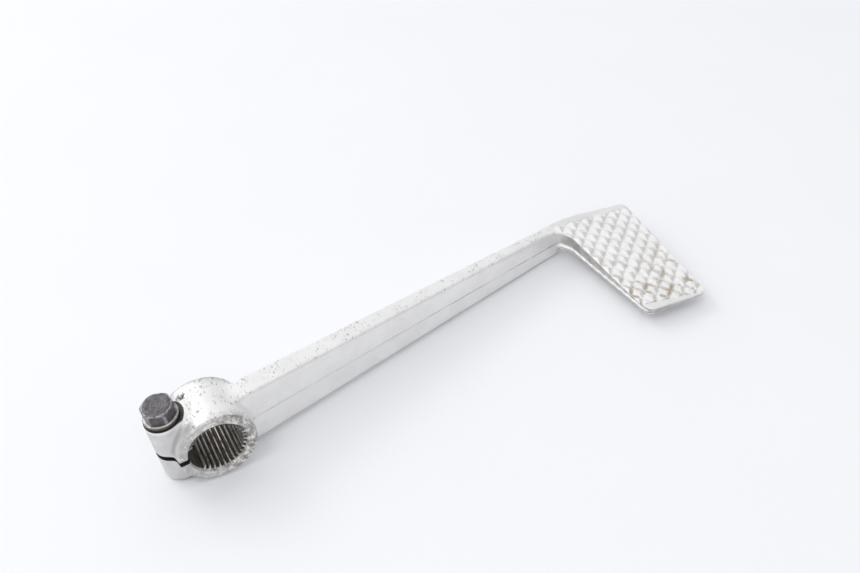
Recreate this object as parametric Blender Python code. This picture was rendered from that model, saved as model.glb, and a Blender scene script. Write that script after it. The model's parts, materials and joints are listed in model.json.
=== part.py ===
"""Gear shift lever: a cast arm with a split, serrated clamp hub and a treaded foot pad.

A hexagon-head pinch bolt with a plain washer closes the clamp. Units are metres, +Z is up.
The lever lies as it would on a bench. The origin is the middle of the hub's bore, the bore
runs along Y, and the arm leaves the hub towards +X. The clamp (bolt, slit and ears) is
modelled upright and then leaned about the bore's axis.
"""

import math

import bmesh
import bpy
from mathutils import Matrix, Vector

MM = 0.001
CUT_OVERRUN = 5.0 * MM

# Pinch bolt (M6) and washer
BOLT_RADIUS = 3.0 * MM
BOLT_LENGTH = 25.0 * MM
BOLT_TIP_CHAMFER = 0.7 * MM
HEAD_ACROSS_FLATS = 10.0 * MM
HEAD_HEIGHT = 4.0 * MM
HEAD_CHAMFER_MARGIN = 0.5 * MM
HEAD_CHAMFER_SLOPE = 1.6 * math.tan(math.radians(30))
HEAD_CROWN_SHARE = 0.95
HEAD_TURN = math.radians(-21)
WASHER_RADIUS = 6.0 * MM
WASHER_THICKNESS = 1.6 * MM
WASHER_EDGE = 0.25 * MM
WASHER_HOLE_RADIUS = 3.2 * MM
SEAT_GAP = 0.3 * MM
THREAD_CLEARANCE = 0.06 * MM
SHANK_CLEARANCE = 0.3 * MM

# Hub and its serrated bore
HUB_RADIUS = 13.8 * MM
HUB_LENGTH = 20.5 * MM
HUB_EDGE = 0.9 * MM
HUB_EDGE_SHARE = 0.3
SPLINE_TEETH = 33
SPLINE_ROOT_RADIUS = 10.0 * MM
SPLINE_CREST_RADIUS = 8.8 * MM
MOUTH_RADIUS = 10.6 * MM
MOUTH_DEPTH = 1.0 * MM
MOUTH_OVERRUN = 0.1 * MM

# Clamp: its own frame has +Z along the bolt, towards the head
CLAMP_LEAN = math.radians(7.2)
BOLT_OFFSET = -12.5 * MM
SEAT_HEIGHT = 13.6 * MM
BOSS_TOP_RADIUS = 6.3 * MM
BOSS_WAIST_RADIUS = 6.5 * MM
EAR_BOTTOM = -12.4 * MM
EAR_BOTTOM_RADIUS = 5.6 * MM
EAR_EDGE_RADIUS = 6.25 * MM
EAR_EDGE_HEIGHT = 0.3 * MM
EAR_ROUNDING_HEIGHT = 1.2 * MM
SADDLE_HALF_WIDTH = 5.9 * MM
SADDLE_START = BOLT_OFFSET + 1.4 * MM
SADDLE_RISE = 0.4 * MM
SADDLE_FOOT_RISE = 2.0 * MM
SADDLE_CREST_X = -4.6 * MM
SADDLE_FOOT_X = -2.0 * MM
SADDLE_REACH = 2.0 * MM
SADDLE_BURY = 0.9 * MM
SADDLE_CORNER = 1.0 * MM
SADDLE_FAIRING = 3.0 * MM
SADDLE_EDGE = 0.9 * MM
SPOTFACE_RADIUS = 7.3 * MM
SLIT_WIDTH = 2.0 * MM

# Arm: sweeps towards +Y and tapers from the hub to the pad
ARM_SWEEP = math.radians(14.54)
ARM_START_Y = -1.5 * MM
ARM_END_X = 169.0 * MM
ARM_WIDTH_HUB = 9.3 * MM
ARM_WIDTH_PAD = 5.0 * MM
ARM_HALF_HEIGHT_HUB = 12.0 * MM
ARM_HALF_HEIGHT_PAD = 6.6 * MM
ARM_DROP = 0.044
ARM_RIDGE = 0.35 * MM
ARM_CORNER = 1.3 * MM
ARM_ROOT_DEPTH = 2.6 * MM
ARM_END_ROUNDING = ((3.0 * MM, 0.0), (1.0 * MM, 0.5 * MM), (0.0, 1.5 * MM))

# Foot pad: a wedge, thick at the arm and thin at its tip
PAD_LEFT_X = 167.4 * MM
PAD_LEFT_TIP_X = 171.6 * MM
PAD_RIGHT_X = 202.0 * MM
PAD_REAR_Y = 44.4 * MM
PAD_TIP_Y = -15.4 * MM
PAD_TOP_AT_BEND = -0.6 * MM
PAD_TOP_SLOPE_X = -0.060
PAD_TOP_SLOPE_Y = 0.105
PAD_PARTING_Z = -8.8 * MM
PAD_BOTTOM_Z = -10.5 * MM
PAD_BOTTOM_INSET = 1.3 * MM
PAD_REAR_FALL = 0.8 * MM
PAD_REAR_CROWN = 0.6 * MM
PAD_REAR_CROWN_X = PAD_LEFT_X + 1.5 * MM
PAD_REAR_CORNER = 3.5 * MM
PAD_REAR_FAIRING = 70.0 * MM
PAD_TIP_CORNER_LEFT = 3.6 * MM
PAD_TIP_CORNER_RIGHT = 4.5 * MM
BEND_X = 164.0 * MM
BEND_Y = 38.0 * MM
BEND_INNER_FALL = 0.4 * MM
BEND_CORNER = 2.6 * MM
BEND_SIDE_DROP = 5.4 * MM
BEND_SIDE_SHIFT = 0.2 * MM
BEND_FAIRING = 3.4 * MM
TAIL_LENGTH = 14.0 * MM
TAIL_HALF_WIDTH = 2.0 * MM
TAIL_CORNER = 0.4 * MM

# Tread: square-based pyramids in two crossing rows
TREAD_PITCH = (4.90 * MM, 4.54 * MM)
TREAD_ANGLES = (math.radians(-42.4), math.radians(-137.4))
TREAD_CENTRE = Vector((187.1 * MM, 14.0 * MM))
TREAD_DEPTH = 1.1 * MM
TREAD_VALLEY = 0.4 * MM
TREAD_FLAT = 0.22
TREAD_WEAR = 0.08 * MM
TREAD_TRIM = 0.15 * MM
TREAD_SINK = 0.3 * MM
TREAD_FLOOR_OVERLAP = 0.05 * MM
TREAD_COUNT = 12
TREAD_MARGIN = 2.0 * MM
TREAD_REAR_Y = 40.6 * MM
TREAD_TIP_Y_LEFT = -9.5 * MM
TREAD_TIP_Y_RIGHT = -14.0 * MM

CLAMP_FRAME = Matrix.Rotation(-CLAMP_LEAN, 4, "Y")
BOLT_AXIS_FOOT = Vector((BOLT_OFFSET, 0.0, 0.0))


def clear_scene():
    """Remove whatever objects the file opened with."""
    for old in list(bpy.data.objects):
        bpy.data.objects.remove(old, do_unlink=True)


def make_material(name, colour, roughness, metallic):
    """A Principled BSDF with one colour, roughness and metallic value."""
    material = bpy.data.materials.new(name)
    material.use_nodes = True
    shader = material.node_tree.nodes["Principled BSDF"]
    shader.inputs["Base Color"].default_value = (*colour, 1.0)
    shader.inputs["Roughness"].default_value = roughness
    shader.inputs["Metallic"].default_value = metallic
    return material


def new_object(name, bm, material=None):
    """Turn a bmesh into an object of the scene, with its normals facing outwards."""
    bmesh.ops.recalc_face_normals(bm, faces=bm.faces)
    mesh = bpy.data.meshes.new(name)
    bm.to_mesh(mesh)
    bm.free()
    obj = bpy.data.objects.new(name, mesh)
    if material:
        mesh.materials.append(material)
    bpy.context.scene.collection.objects.link(obj)
    return obj


def combine(target, tool, operation):
    """Add an exact boolean to the target and hide its tool."""
    tool.hide_render = True
    tool.display_type = "WIRE"
    modifier = target.modifiers.new(f"{operation.lower()} {tool.name}", "BOOLEAN")
    modifier.operation = operation
    modifier.solver = "EXACT"
    modifier.object = tool


def skin_rings(bm, rings):
    """Join rings of equal length into a closed tube with flat end caps."""
    loops = [[bm.verts.new(point) for point in ring] for ring in rings]
    for lower, upper in zip(loops, loops[1:]):
        for i in range(len(lower)):
            j = (i + 1) % len(lower)
            bm.faces.new((lower[i], lower[j], upper[j], upper[i]))
    bm.faces.new(reversed(loops[0]))
    bm.faces.new(loops[-1])


def circle_ring(radius, z, segments):
    """Points of a circle about the Z axis."""
    return [
        Vector((radius * math.cos(a), radius * math.sin(a), z))
        for a in (2 * math.pi * i / segments for i in range(segments))
    ]


def turned_solid(profile, segments):
    """A solid of revolution about Z from (radius, height) pairs."""
    bm = bmesh.new()
    skin_rings(bm, [circle_ring(radius, z, segments) for radius, z in profile])
    return bm


def rounded_outline(corners, steps=5):
    """An outline through (x, y, radius) corners, each one rounded to its radius."""
    points = []
    for i, (x, y, radius) in enumerate(corners):
        corner = Vector((x, y))
        before = Vector(corners[i - 1][:2]) - corner
        after = Vector(corners[(i + 1) % len(corners)][:2]) - corner
        before.normalize()
        after.normalize()
        half_angle = before.angle(after) / 2
        centre = corner + (before + after).normalized() * (radius / math.sin(half_angle))
        start = corner + before * (radius / math.tan(half_angle)) - centre
        turn = start.angle_signed(corner + after * (radius / math.tan(half_angle)) - centre)
        for step in range(steps + 1):
            points.append(centre + Matrix.Rotation(-turn * step / steps, 2) @ start)
    return points


def pad_top(x, y):
    """Height of the pad's top plane."""
    return PAD_TOP_AT_BEND + PAD_TOP_SLOPE_X * (x - BEND_X) + PAD_TOP_SLOPE_Y * (y - BEND_Y)


def arm_middle(x):
    """Centre of the arm's section at this x."""
    return Vector((x, ARM_START_Y + x * math.tan(ARM_SWEEP), -x * ARM_DROP))


def arm_section(x, shrink=0.0):
    """The arm's outline at this x: a tall rounded bar with a parting ridge on each side."""
    along = x / ARM_END_X
    half_width = (ARM_WIDTH_HUB + (ARM_WIDTH_PAD - ARM_WIDTH_HUB) * along) / 2 - shrink
    half_height = ARM_HALF_HEIGHT_HUB + (ARM_HALF_HEIGHT_PAD - ARM_HALF_HEIGHT_HUB) * along - shrink
    corner = min(ARM_CORNER, 0.6 * half_width)
    outline = rounded_outline(
        [
            (half_width, half_height, corner),
            (-half_width, half_height, corner),
            (-half_width, -half_height, corner),
            (half_width, -half_height, corner),
        ],
        steps=3,
    )
    quarter = len(outline) // 4
    outline.insert(4 * quarter, Vector((half_width + ARM_RIDGE, 0.0)))
    outline.insert(2 * quarter, Vector((-half_width - ARM_RIDGE, 0.0)))
    middle = arm_middle(x)
    return [middle + Vector((0.0, across, up)) for across, up in outline]


def build_hub():
    """The plain round hub, along Y."""
    half = HUB_LENGTH / 2
    bm = turned_solid(
        [
            (HUB_RADIUS - HUB_EDGE, -half),
            (HUB_RADIUS - HUB_EDGE_SHARE * HUB_EDGE, -half + HUB_EDGE_SHARE * HUB_EDGE),
            (HUB_RADIUS, -half + HUB_EDGE),
            (HUB_RADIUS, half - HUB_EDGE),
            (HUB_RADIUS - HUB_EDGE_SHARE * HUB_EDGE, half - HUB_EDGE_SHARE * HUB_EDGE),
            (HUB_RADIUS - HUB_EDGE, half),
        ],
        segments=72,
    )
    bmesh.ops.rotate(bm, verts=bm.verts, matrix=Matrix.Rotation(math.pi / 2, 3, "X"))
    return bm


def build_boss():
    """The two ears as one round boss around the bolt."""
    bm = turned_solid(
        [
            (EAR_BOTTOM_RADIUS, EAR_BOTTOM),
            (EAR_EDGE_RADIUS, EAR_BOTTOM + EAR_EDGE_HEIGHT),
            (BOSS_WAIST_RADIUS, EAR_BOTTOM + EAR_ROUNDING_HEIGHT),
            (BOSS_WAIST_RADIUS, 0.0),
            (BOSS_TOP_RADIUS, SEAT_HEIGHT),
        ],
        segments=48,
    )
    bmesh.ops.translate(bm, verts=bm.verts, vec=BOLT_AXIS_FOOT)
    return bm


def saddle_outline(inset):
    """Outline of the saddle seen along Y, pulled in by inset where it shows."""
    top = SEAT_HEIGHT + SADDLE_RISE - inset
    return rounded_outline(
        [
            (SADDLE_START, EAR_BOTTOM + SADDLE_FOOT_RISE + inset, SADDLE_CORNER),
            (SADDLE_FOOT_X, -HUB_RADIUS + SADDLE_BURY + inset, SADDLE_CORNER),
            (SADDLE_REACH, 0.0, SADDLE_FAIRING),
            (0.0, HUB_RADIUS - SADDLE_BURY - inset, SADDLE_CORNER),
            (SADDLE_CREST_X, top, SADDLE_FAIRING),
            (SADDLE_START, top, 0.5 * SADDLE_CORNER),
        ],
        steps=4,
    )


def build_saddle():
    """The web that fills the corner between the boss and the hub."""
    full = saddle_outline(0.0)
    small = saddle_outline(SADDLE_EDGE)
    inner = SADDLE_HALF_WIDTH - SADDLE_EDGE
    rings = (
        (small, -SADDLE_HALF_WIDTH),
        (full, -inner),
        (full, inner),
        (small, SADDLE_HALF_WIDTH),
    )
    bm = bmesh.new()
    skin_rings(bm, [[Vector((x, side, z)) for x, z in outline] for outline, side in rings])
    return bm


def build_arm():
    """The tapered arm, from inside the hub to the bend, with a rounded end."""
    bm = bmesh.new()
    rings = [arm_section(HUB_RADIUS - ARM_ROOT_DEPTH)]
    rings += [arm_section(ARM_END_X - back, shrink) for back, shrink in ARM_END_ROUNDING]
    skin_rings(bm, rings)
    return bm


def pad_corners(inset):
    """Corners of the pad's outline, with a tail that fairs the bend into the arm."""
    tail_x = BEND_X - TAIL_LENGTH
    tail_y = arm_middle(tail_x).y
    return [
        (PAD_RIGHT_X - inset, PAD_REAR_Y - PAD_REAR_FALL - inset, PAD_REAR_CORNER - inset),
        (PAD_REAR_CROWN_X, PAD_REAR_Y + PAD_REAR_CROWN - inset, PAD_REAR_FAIRING),
        (tail_x, tail_y + TAIL_HALF_WIDTH - inset, TAIL_CORNER),
        (tail_x, tail_y - TAIL_HALF_WIDTH + inset, TAIL_CORNER),
        (BEND_X + inset, BEND_Y - BEND_INNER_FALL + inset, BEND_CORNER),
        (PAD_LEFT_X - BEND_SIDE_SHIFT + inset, BEND_Y - BEND_SIDE_DROP, BEND_FAIRING),
        (PAD_LEFT_TIP_X + inset, PAD_TIP_Y + inset, PAD_TIP_CORNER_LEFT - inset),
        (PAD_RIGHT_X - inset, PAD_TIP_Y + inset, PAD_TIP_CORNER_RIGHT - inset),
    ]


def build_pad():
    """The wedge-shaped pad without its tread."""
    full = rounded_outline(pad_corners(0.0))
    small = rounded_outline(pad_corners(PAD_BOTTOM_INSET))
    bm = bmesh.new()
    skin_rings(
        bm,
        [
            [Vector((x, y, PAD_BOTTOM_Z)) for x, y in small],
            [Vector((x, y, PAD_PARTING_Z)) for x, y in full],
            [Vector((x, y, pad_top(x, y))) for x, y in full],
        ],
    )
    return bm


def tread_prism(inset, depth, rise):
    """A prism over the treaded area, from below the top plane to above it."""
    left = BEND_X - TREAD_MARGIN
    right = PAD_RIGHT_X + TREAD_MARGIN
    outline = [
        (left, TREAD_REAR_Y - inset),
        (left, TREAD_TIP_Y_LEFT + inset),
        (right, TREAD_TIP_Y_RIGHT + inset),
        (right, TREAD_REAR_Y - inset),
    ]
    bm = bmesh.new()
    skin_rings(
        bm,
        [
            [Vector((x, y, pad_top(x, y) - depth)) for x, y in outline],
            [Vector((x, y, pad_top(x, y) + rise)) for x, y in outline],
        ],
    )
    return bm


def build_pad_limit():
    """The pad's sides, drawn in and carried upwards, which trim the pyramids at its edges."""
    outline = rounded_outline(pad_corners(TREAD_TRIM))
    foot = rounded_outline(pad_corners(PAD_BOTTOM_INSET + TREAD_TRIM))
    bm = bmesh.new()
    skin_rings(
        bm,
        [
            [Vector((x, y, PAD_BOTTOM_Z)) for x, y in foot],
            [Vector((x, y, PAD_PARTING_Z)) for x, y in outline],
            [Vector((x, y, PAD_TOP_AT_BEND + CUT_OVERRUN)) for x, y in outline],
        ],
    )
    return bm


def build_pyramids():
    """Every pyramid of the tread, standing on the floor between them."""
    rows = [
        Vector((math.cos(angle), math.sin(angle))) * pitch
        for pitch, angle in zip(TREAD_PITCH, TREAD_ANGLES)
    ]
    base = 0.5 - TREAD_VALLEY / (2 * max(TREAD_PITCH))
    levels = (
        (base, TREAD_DEPTH + TREAD_SINK),
        (base, TREAD_DEPTH + TREAD_FLOOR_OVERLAP),
        (TREAD_FLAT / 2, TREAD_WEAR),
    )
    bm = bmesh.new()
    for i in range(-TREAD_COUNT, TREAD_COUNT + 1):
        for j in range(-TREAD_COUNT, TREAD_COUNT + 1):
            centre = TREAD_CENTRE + i * rows[0] + j * rows[1]
            if not (BEND_X < centre.x < PAD_RIGHT_X + TREAD_MARGIN):
                continue
            if not (PAD_TIP_Y - TREAD_MARGIN / 2 < centre.y < PAD_REAR_Y):
                continue
            rings = []
            for size, sink in levels:
                ring = []
                for a, b in ((-1, -1), (1, -1), (1, 1), (-1, 1)):
                    spot = centre + size * a * rows[0] + size * b * rows[1]
                    ring.append(Vector((spot.x, spot.y, pad_top(spot.x, spot.y) - sink)))
                rings.append(ring)
            skin_rings(bm, rings)
    return bm


def build_bore():
    """The serrated bore as a star-shaped bar along Y that flares into a round mouth."""
    angles = [math.pi * i / SPLINE_TEETH for i in range(2 * SPLINE_TEETH)]
    radii = [SPLINE_ROOT_RADIUS, SPLINE_CREST_RADIUS] * SPLINE_TEETH
    star = [Vector((r * math.cos(a), r * math.sin(a), 0.0)) for r, a in zip(radii, angles)]
    mouth = [Vector((MOUTH_RADIUS * math.cos(a), MOUTH_RADIUS * math.sin(a), 0.0)) for a in angles]
    outer = Vector((0.0, 0.0, HUB_LENGTH / 2 + MOUTH_OVERRUN))
    inner = Vector((0.0, 0.0, HUB_LENGTH / 2 - MOUTH_DEPTH))
    bm = bmesh.new()
    skin_rings(
        bm,
        [
            [point - outer for point in mouth],
            [point - inner for point in star],
            [point + inner for point in star],
            [point + outer for point in mouth],
        ],
    )
    bmesh.ops.rotate(bm, verts=bm.verts, matrix=Matrix.Rotation(math.pi / 2, 3, "X"))
    return bm


def build_slit():
    """The cut that splits the hub between the two ears."""
    bm = bmesh.new()
    bmesh.ops.create_cube(bm, size=1.0)
    reach = -BOLT_OFFSET + BOSS_WAIST_RADIUS + CUT_OVERRUN
    bmesh.ops.scale(bm, verts=bm.verts, vec=(reach, HUB_LENGTH + CUT_OVERRUN, SLIT_WIDTH))
    bmesh.ops.translate(bm, verts=bm.verts, vec=(-reach / 2, 0.0, 0.0))
    return bm


def build_bolt_hole():
    """Clearance hole above the slit and thread-sized hole below it."""
    clearance = BOLT_RADIUS + SHANK_CLEARANCE
    thread = BOLT_RADIUS + THREAD_CLEARANCE
    bm = turned_solid(
        [
            (thread, EAR_BOTTOM - CUT_OVERRUN),
            (thread, 0.0),
            (clearance, 0.0),
            (clearance, SEAT_HEIGHT + CUT_OVERRUN),
        ],
        segments=32,
    )
    bmesh.ops.translate(bm, verts=bm.verts, vec=BOLT_AXIS_FOOT)
    return bm


def build_spotface():
    """The flat seat cut for the washer."""
    bm = turned_solid(
        [(SPOTFACE_RADIUS, SEAT_HEIGHT), (SPOTFACE_RADIUS, SEAT_HEIGHT + CUT_OVERRUN)],
        segments=48,
    )
    bmesh.ops.translate(bm, verts=bm.verts, vec=BOLT_AXIS_FOOT)
    return bm


def in_clamp_frame(bm):
    """Lean a shape that was built upright with the clamp."""
    bm.transform(CLAMP_FRAME)
    return bm


def build_lever(material):
    """One casting: hub, ears, arm and pad, with every cut made in it."""
    lever = new_object("lever", build_hub(), material)
    combine(lever, new_object("boss", in_clamp_frame(build_boss())), "UNION")
    combine(lever, new_object("saddle", in_clamp_frame(build_saddle())), "UNION")
    combine(lever, new_object("arm", build_arm()), "UNION")
    combine(lever, new_object("pad", build_pad()), "UNION")
    pocket = new_object("tread pocket", tread_prism(0.0, TREAD_DEPTH, CUT_OVERRUN))
    combine(lever, pocket, "DIFFERENCE")
    pyramids = new_object("pyramids", build_pyramids())
    trim = new_object("tread trim", tread_prism(-2 * TREAD_TRIM, CUT_OVERRUN, CUT_OVERRUN))
    combine(pyramids, trim, "INTERSECT")
    combine(pyramids, new_object("pad limit", build_pad_limit()), "INTERSECT")
    combine(lever, pyramids, "UNION")
    combine(lever, new_object("spotface", in_clamp_frame(build_spotface())), "DIFFERENCE")
    combine(lever, new_object("bore", build_bore()), "DIFFERENCE")
    combine(lever, new_object("slit", in_clamp_frame(build_slit())), "DIFFERENCE")
    combine(lever, new_object("bolt hole", in_clamp_frame(build_bolt_hole())), "DIFFERENCE")
    lever.data.shade_smooth()
    return lever


def build_pinch_bolt(material):
    """The bolt, with its origin on its axis at the underside of the head."""
    corner = HEAD_ACROSS_FLATS / math.sqrt(3)
    flat = HEAD_ACROSS_FLATS / 2
    top_chamfer = (corner - flat) * HEAD_CHAMFER_SLOPE
    bm = bmesh.new()
    skin_rings(bm, [circle_ring(corner, 0.0, 6), circle_ring(corner, HEAD_HEIGHT, 6)])
    bolt = new_object("pinch_bolt", bm, material)
    crown = turned_solid(
        [
            (corner + HEAD_CHAMFER_MARGIN, -CUT_OVERRUN),
            (corner + HEAD_CHAMFER_MARGIN, HEAD_HEIGHT - top_chamfer - HEAD_CHAMFER_MARGIN / 2),
            (flat * HEAD_CROWN_SHARE, HEAD_HEIGHT),
        ],
        segments=36,
    )
    combine(bolt, new_object("bolt crown", crown), "INTERSECT")
    shank = turned_solid(
        [
            (BOLT_RADIUS - BOLT_TIP_CHAMFER, -BOLT_LENGTH),
            (BOLT_RADIUS, -BOLT_LENGTH + BOLT_TIP_CHAMFER),
            (BOLT_RADIUS, HEAD_HEIGHT / 2),
        ],
        segments=32,
    )
    combine(bolt, new_object("bolt shank", shank), "UNION")
    for piece in (bolt, bpy.data.objects["bolt crown"], bpy.data.objects["bolt shank"]):
        under_head = SEAT_HEIGHT + 2 * SEAT_GAP + WASHER_THICKNESS
        piece.matrix_world = (
            CLAMP_FRAME
            @ Matrix.Translation(BOLT_AXIS_FOOT + Vector((0.0, 0.0, under_head)))
            @ Matrix.Rotation(HEAD_TURN, 4, "Z")
        )
    bolt.data.shade_smooth()
    return bolt


def build_washer(material):
    """The plain washer between the seat and the bolt head."""
    bm = turned_solid(
        [
            (WASHER_RADIUS - WASHER_EDGE, 0.0),
            (WASHER_RADIUS, WASHER_EDGE),
            (WASHER_RADIUS, WASHER_THICKNESS - WASHER_EDGE),
            (WASHER_RADIUS - WASHER_EDGE, WASHER_THICKNESS),
        ],
        segments=48,
    )
    washer = new_object("washer", bm, material)
    hole = turned_solid(
        [(WASHER_HOLE_RADIUS, -CUT_OVERRUN), (WASHER_HOLE_RADIUS, CUT_OVERRUN)],
        segments=32,
    )
    combine(washer, new_object("washer hole", hole), "DIFFERENCE")
    for piece in (washer, bpy.data.objects["washer hole"]):
        piece.matrix_world = CLAMP_FRAME @ Matrix.Translation(
            BOLT_AXIS_FOOT + Vector((0.0, 0.0, SEAT_HEIGHT + SEAT_GAP))
        )
    washer.data.shade_smooth()
    return washer


def main():
    clear_scene()
    cast_aluminium = make_material("cast_aluminium", (0.66, 0.65, 0.63), 0.42, 1.0)
    dark_steel = make_material("dark_steel", (0.13, 0.13, 0.14), 0.45, 0.9)
    washer_steel = make_material("washer_steel", (0.34, 0.33, 0.31), 0.4, 1.0)
    build_lever(cast_aluminium)
    build_pinch_bolt(dark_steel)
    build_washer(washer_steel)


main()
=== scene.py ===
"""The looks of a used gear shift lever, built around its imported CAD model.

The casting is made as overlapping rough solids, fused and relaxed so that its corners turn
into cast fillets, and then machined: bore, slit, bolt hole, washer seat and tread are cut
crisply. Everything is in metres in the frame of the CAD part.
"""

import json
import math

import bmesh
import bpy
import numpy as np
from mathutils import Matrix, Vector


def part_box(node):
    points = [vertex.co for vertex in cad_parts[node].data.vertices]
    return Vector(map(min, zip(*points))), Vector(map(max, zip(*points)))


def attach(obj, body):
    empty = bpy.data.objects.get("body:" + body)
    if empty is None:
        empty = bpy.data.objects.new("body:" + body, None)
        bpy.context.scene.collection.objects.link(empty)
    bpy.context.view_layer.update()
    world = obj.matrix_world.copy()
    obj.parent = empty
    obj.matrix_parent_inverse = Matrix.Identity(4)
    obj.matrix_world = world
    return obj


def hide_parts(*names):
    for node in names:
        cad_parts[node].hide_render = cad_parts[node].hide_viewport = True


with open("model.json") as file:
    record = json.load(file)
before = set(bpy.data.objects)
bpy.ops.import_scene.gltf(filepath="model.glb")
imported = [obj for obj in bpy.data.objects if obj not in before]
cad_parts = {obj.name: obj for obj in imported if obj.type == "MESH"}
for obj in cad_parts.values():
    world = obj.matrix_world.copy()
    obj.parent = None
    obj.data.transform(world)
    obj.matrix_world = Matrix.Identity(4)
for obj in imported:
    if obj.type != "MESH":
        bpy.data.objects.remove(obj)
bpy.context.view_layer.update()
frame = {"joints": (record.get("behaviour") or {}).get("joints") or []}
MM = 0.001

# Places read from the frame
JOINTS = {joint["name"]: joint for joint in frame["joints"]}
BOLT_UP = Vector(JOINTS["bolt_turn"]["axis"]).normalized()
BOLT_FOOT = Vector(JOINTS["bolt_turn"]["pos_m"])
CLAMP_LEAN = math.atan2(-BOLT_UP.x, BOLT_UP.z)
BOLT_OFFSET = -BOLT_FOOT.length
LOW_CORNER, HIGH_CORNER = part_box("lever")
FLOOR_Z = LOW_CORNER[2]
PAD_RIGHT_X = HIGH_CORNER[0]
PAD_TIP_Y = LOW_CORNER[1]

# Clamp hub
HUB_RADIUS = 13.8 * MM
HUB_HALF_LENGTH = 10.25 * MM
SPLINE_TEETH = 33
SPLINE_ROOT_RADIUS = 10.0 * MM
SPLINE_CREST_RADIUS = 8.8 * MM
MOUTH_RADIUS = 10.6 * MM
MOUTH_DEPTH = 1.0 * MM
SEAT_HEIGHT = 13.6 * MM
SPOTFACE_RADIUS = 7.3 * MM
BOSS_TOP_RADIUS = 6.3 * MM
BOSS_WAIST_RADIUS = 6.5 * MM
EAR_BOTTOM = -12.4 * MM
SLIT_WIDTH = 2.0 * MM
LOWER_JAW_PLAN = (
    (BOLT_OFFSET, 6.3 * MM),
    (BOLT_OFFSET + 3.0 * MM, 9.2 * MM),
    (BOLT_OFFSET + 7.0 * MM, 10.1 * MM),
    (-1.0 * MM, 10.1 * MM),
)
MISSING_TEETH = (math.radians(160), math.radians(228))
NICK = Vector((-6.3 * MM, 5.4 * MM, 12.7 * MM))

# Pinch bolt and washer
BOLT_RADIUS = 3.0 * MM
BOLT_LENGTH = 25.0 * MM
THREAD_PITCH = 1.0 * MM
THREAD_DEPTH = 0.55 * MM
THREAD_FADE = 3.0 * MM
THREAD_CLEARANCE = 0.06 * MM
SHANK_CLEARANCE = 0.3 * MM
HEAD_ACROSS_FLATS = 10.0 * MM
HEAD_HEIGHT = 4.0 * MM
HEAD_TURN = math.radians(-21)
WASHER_RADIUS = 6.0 * MM
WASHER_THICKNESS = 1.6 * MM
WASHER_HOLE_RADIUS = 3.2 * MM
SEAT_GAP = 0.3 * MM
BOLT_TIP_CHAMFER = 0.8 * MM
CONTACT_GAP = 0.04 * MM
HEAD_SEAT = SEAT_HEIGHT + SEAT_GAP + WASHER_THICKNESS + CONTACT_GAP
HEAD_DROP = SEAT_GAP - CONTACT_GAP

# Arm
ARM_SWEEP = math.radians(14.54)
ARM_START_Y = -1.5 * MM
ARM_END_X = 169.0 * MM
ARM_WIDTH_HUB = 9.3 * MM
ARM_WIDTH_PAD = 5.0 * MM
ARM_HALF_HEIGHT_HUB = 12.0 * MM
ARM_HALF_HEIGHT_PAD = 6.6 * MM
ARM_DROP = 0.044
ARM_RIDGE = 0.35 * MM
PARTING_START_X = 13.0 * MM
PARTING_END_X = 160.0 * MM

# Foot pad
PAD_LEFT_X = 167.4 * MM
PAD_LEFT_TIP_X = 171.6 * MM
PAD_REAR_Y = 44.4 * MM
PAD_TOP_AT_BEND = -0.6 * MM
PAD_TOP_SLOPE_X = -0.060
PAD_TOP_SLOPE_Y = 0.105
PAD_PARTING_Z = -8.8 * MM
PAD_BOTTOM_Z = -10.5 * MM
PAD_UNDERCUT = 1.0 * MM
PAD_BOTTOM_INSET = 1.3 * MM
PAD_LIP_HEIGHT = 0.5 * MM
PAD_LIP_SLOPE = 0.3 * MM
PAD_REAR_FALL = 0.8 * MM
PAD_REAR_CROWN = 0.6 * MM
PAD_REAR_SHIFT = 1.5 * MM
PAD_REAR_CORNER = 3.5 * MM
PAD_REAR_FAIRING = 70.0 * MM
PAD_TIP_CORNER_LEFT = 3.6 * MM
PAD_TIP_CORNER_RIGHT = 4.5 * MM
BEND_X = 164.0 * MM
BEND_Y = 38.0 * MM
BEND_INNER_FALL = 0.4 * MM
BEND_CORNER = 2.6 * MM
BEND_SIDE_DROP = 5.4 * MM
BEND_SIDE_SHIFT = 0.2 * MM
BEND_FAIRING = 3.4 * MM
TAIL_LENGTH = 14.0 * MM
TAIL_HALF_WIDTH = 2.0 * MM
TAIL_CORNER = 0.4 * MM

# Tread
TREAD_PITCH = (4.90 * MM, 4.54 * MM)
TREAD_ANGLES = (math.radians(-42.4), math.radians(-137.4))
TREAD_CENTRE = Vector((187.1 * MM, 14.0 * MM))
TREAD_DEPTH = 1.1 * MM
TREAD_COUNT = 12
TREAD_MARGIN = 2.0 * MM
TREAD_BASE = 0.46
TREAD_SINK = 0.3 * MM
TREAD_TRIM_REACH = 3.0 * MM
TREAD_RUN_OUT = 0.9 * MM
TREAD_REAR_SLOPE = 3.0 * MM
TREAD_REAR_Y = 40.6 * MM
TREAD_TIP_Y_LEFT = -9.5 * MM
TREAD_TIP_Y_RIGHT = -14.0 * MM

# Making of the casting
VOXEL = 0.4 * MM
RELAX_ROUNDS = 6
BLEND_ROUNDS = 60
CASTING_SHARP_ANGLE = math.radians(22)
TRIM_STOCK = 0.8 * MM

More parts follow.
